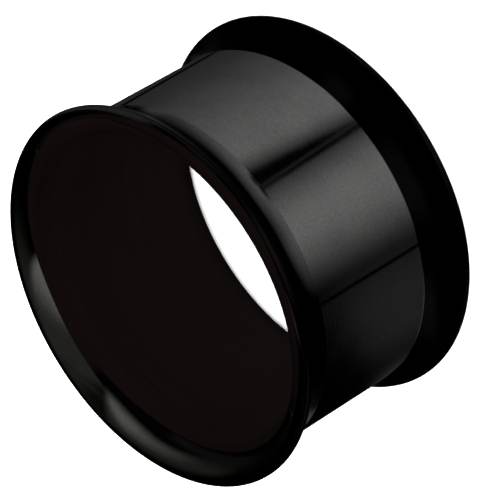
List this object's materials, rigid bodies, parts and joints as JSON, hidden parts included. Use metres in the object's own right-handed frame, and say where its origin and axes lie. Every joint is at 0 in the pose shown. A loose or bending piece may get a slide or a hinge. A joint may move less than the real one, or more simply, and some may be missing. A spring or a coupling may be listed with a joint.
{
  "type": "flesh tunnel",
  "caption": "Double-flared flesh tunnel for a stretched earlobe: a short open tube with a rounded, flared rim at each end.",
  "frame": {"origin": "centre of the ring on which the rear rim stands", "axes": "+Z along the bore, from the rear rim that it stands on to the front rim"},
  "size_m": [0.022, 0.022, 0.013],
  "materials": {
    "black_steel": "polished black PVD coating on steel, duller inside the bore"
  },
  "bodies": {
    "root": {"tunnel": "black_steel"}
  },
  "joints": []
}
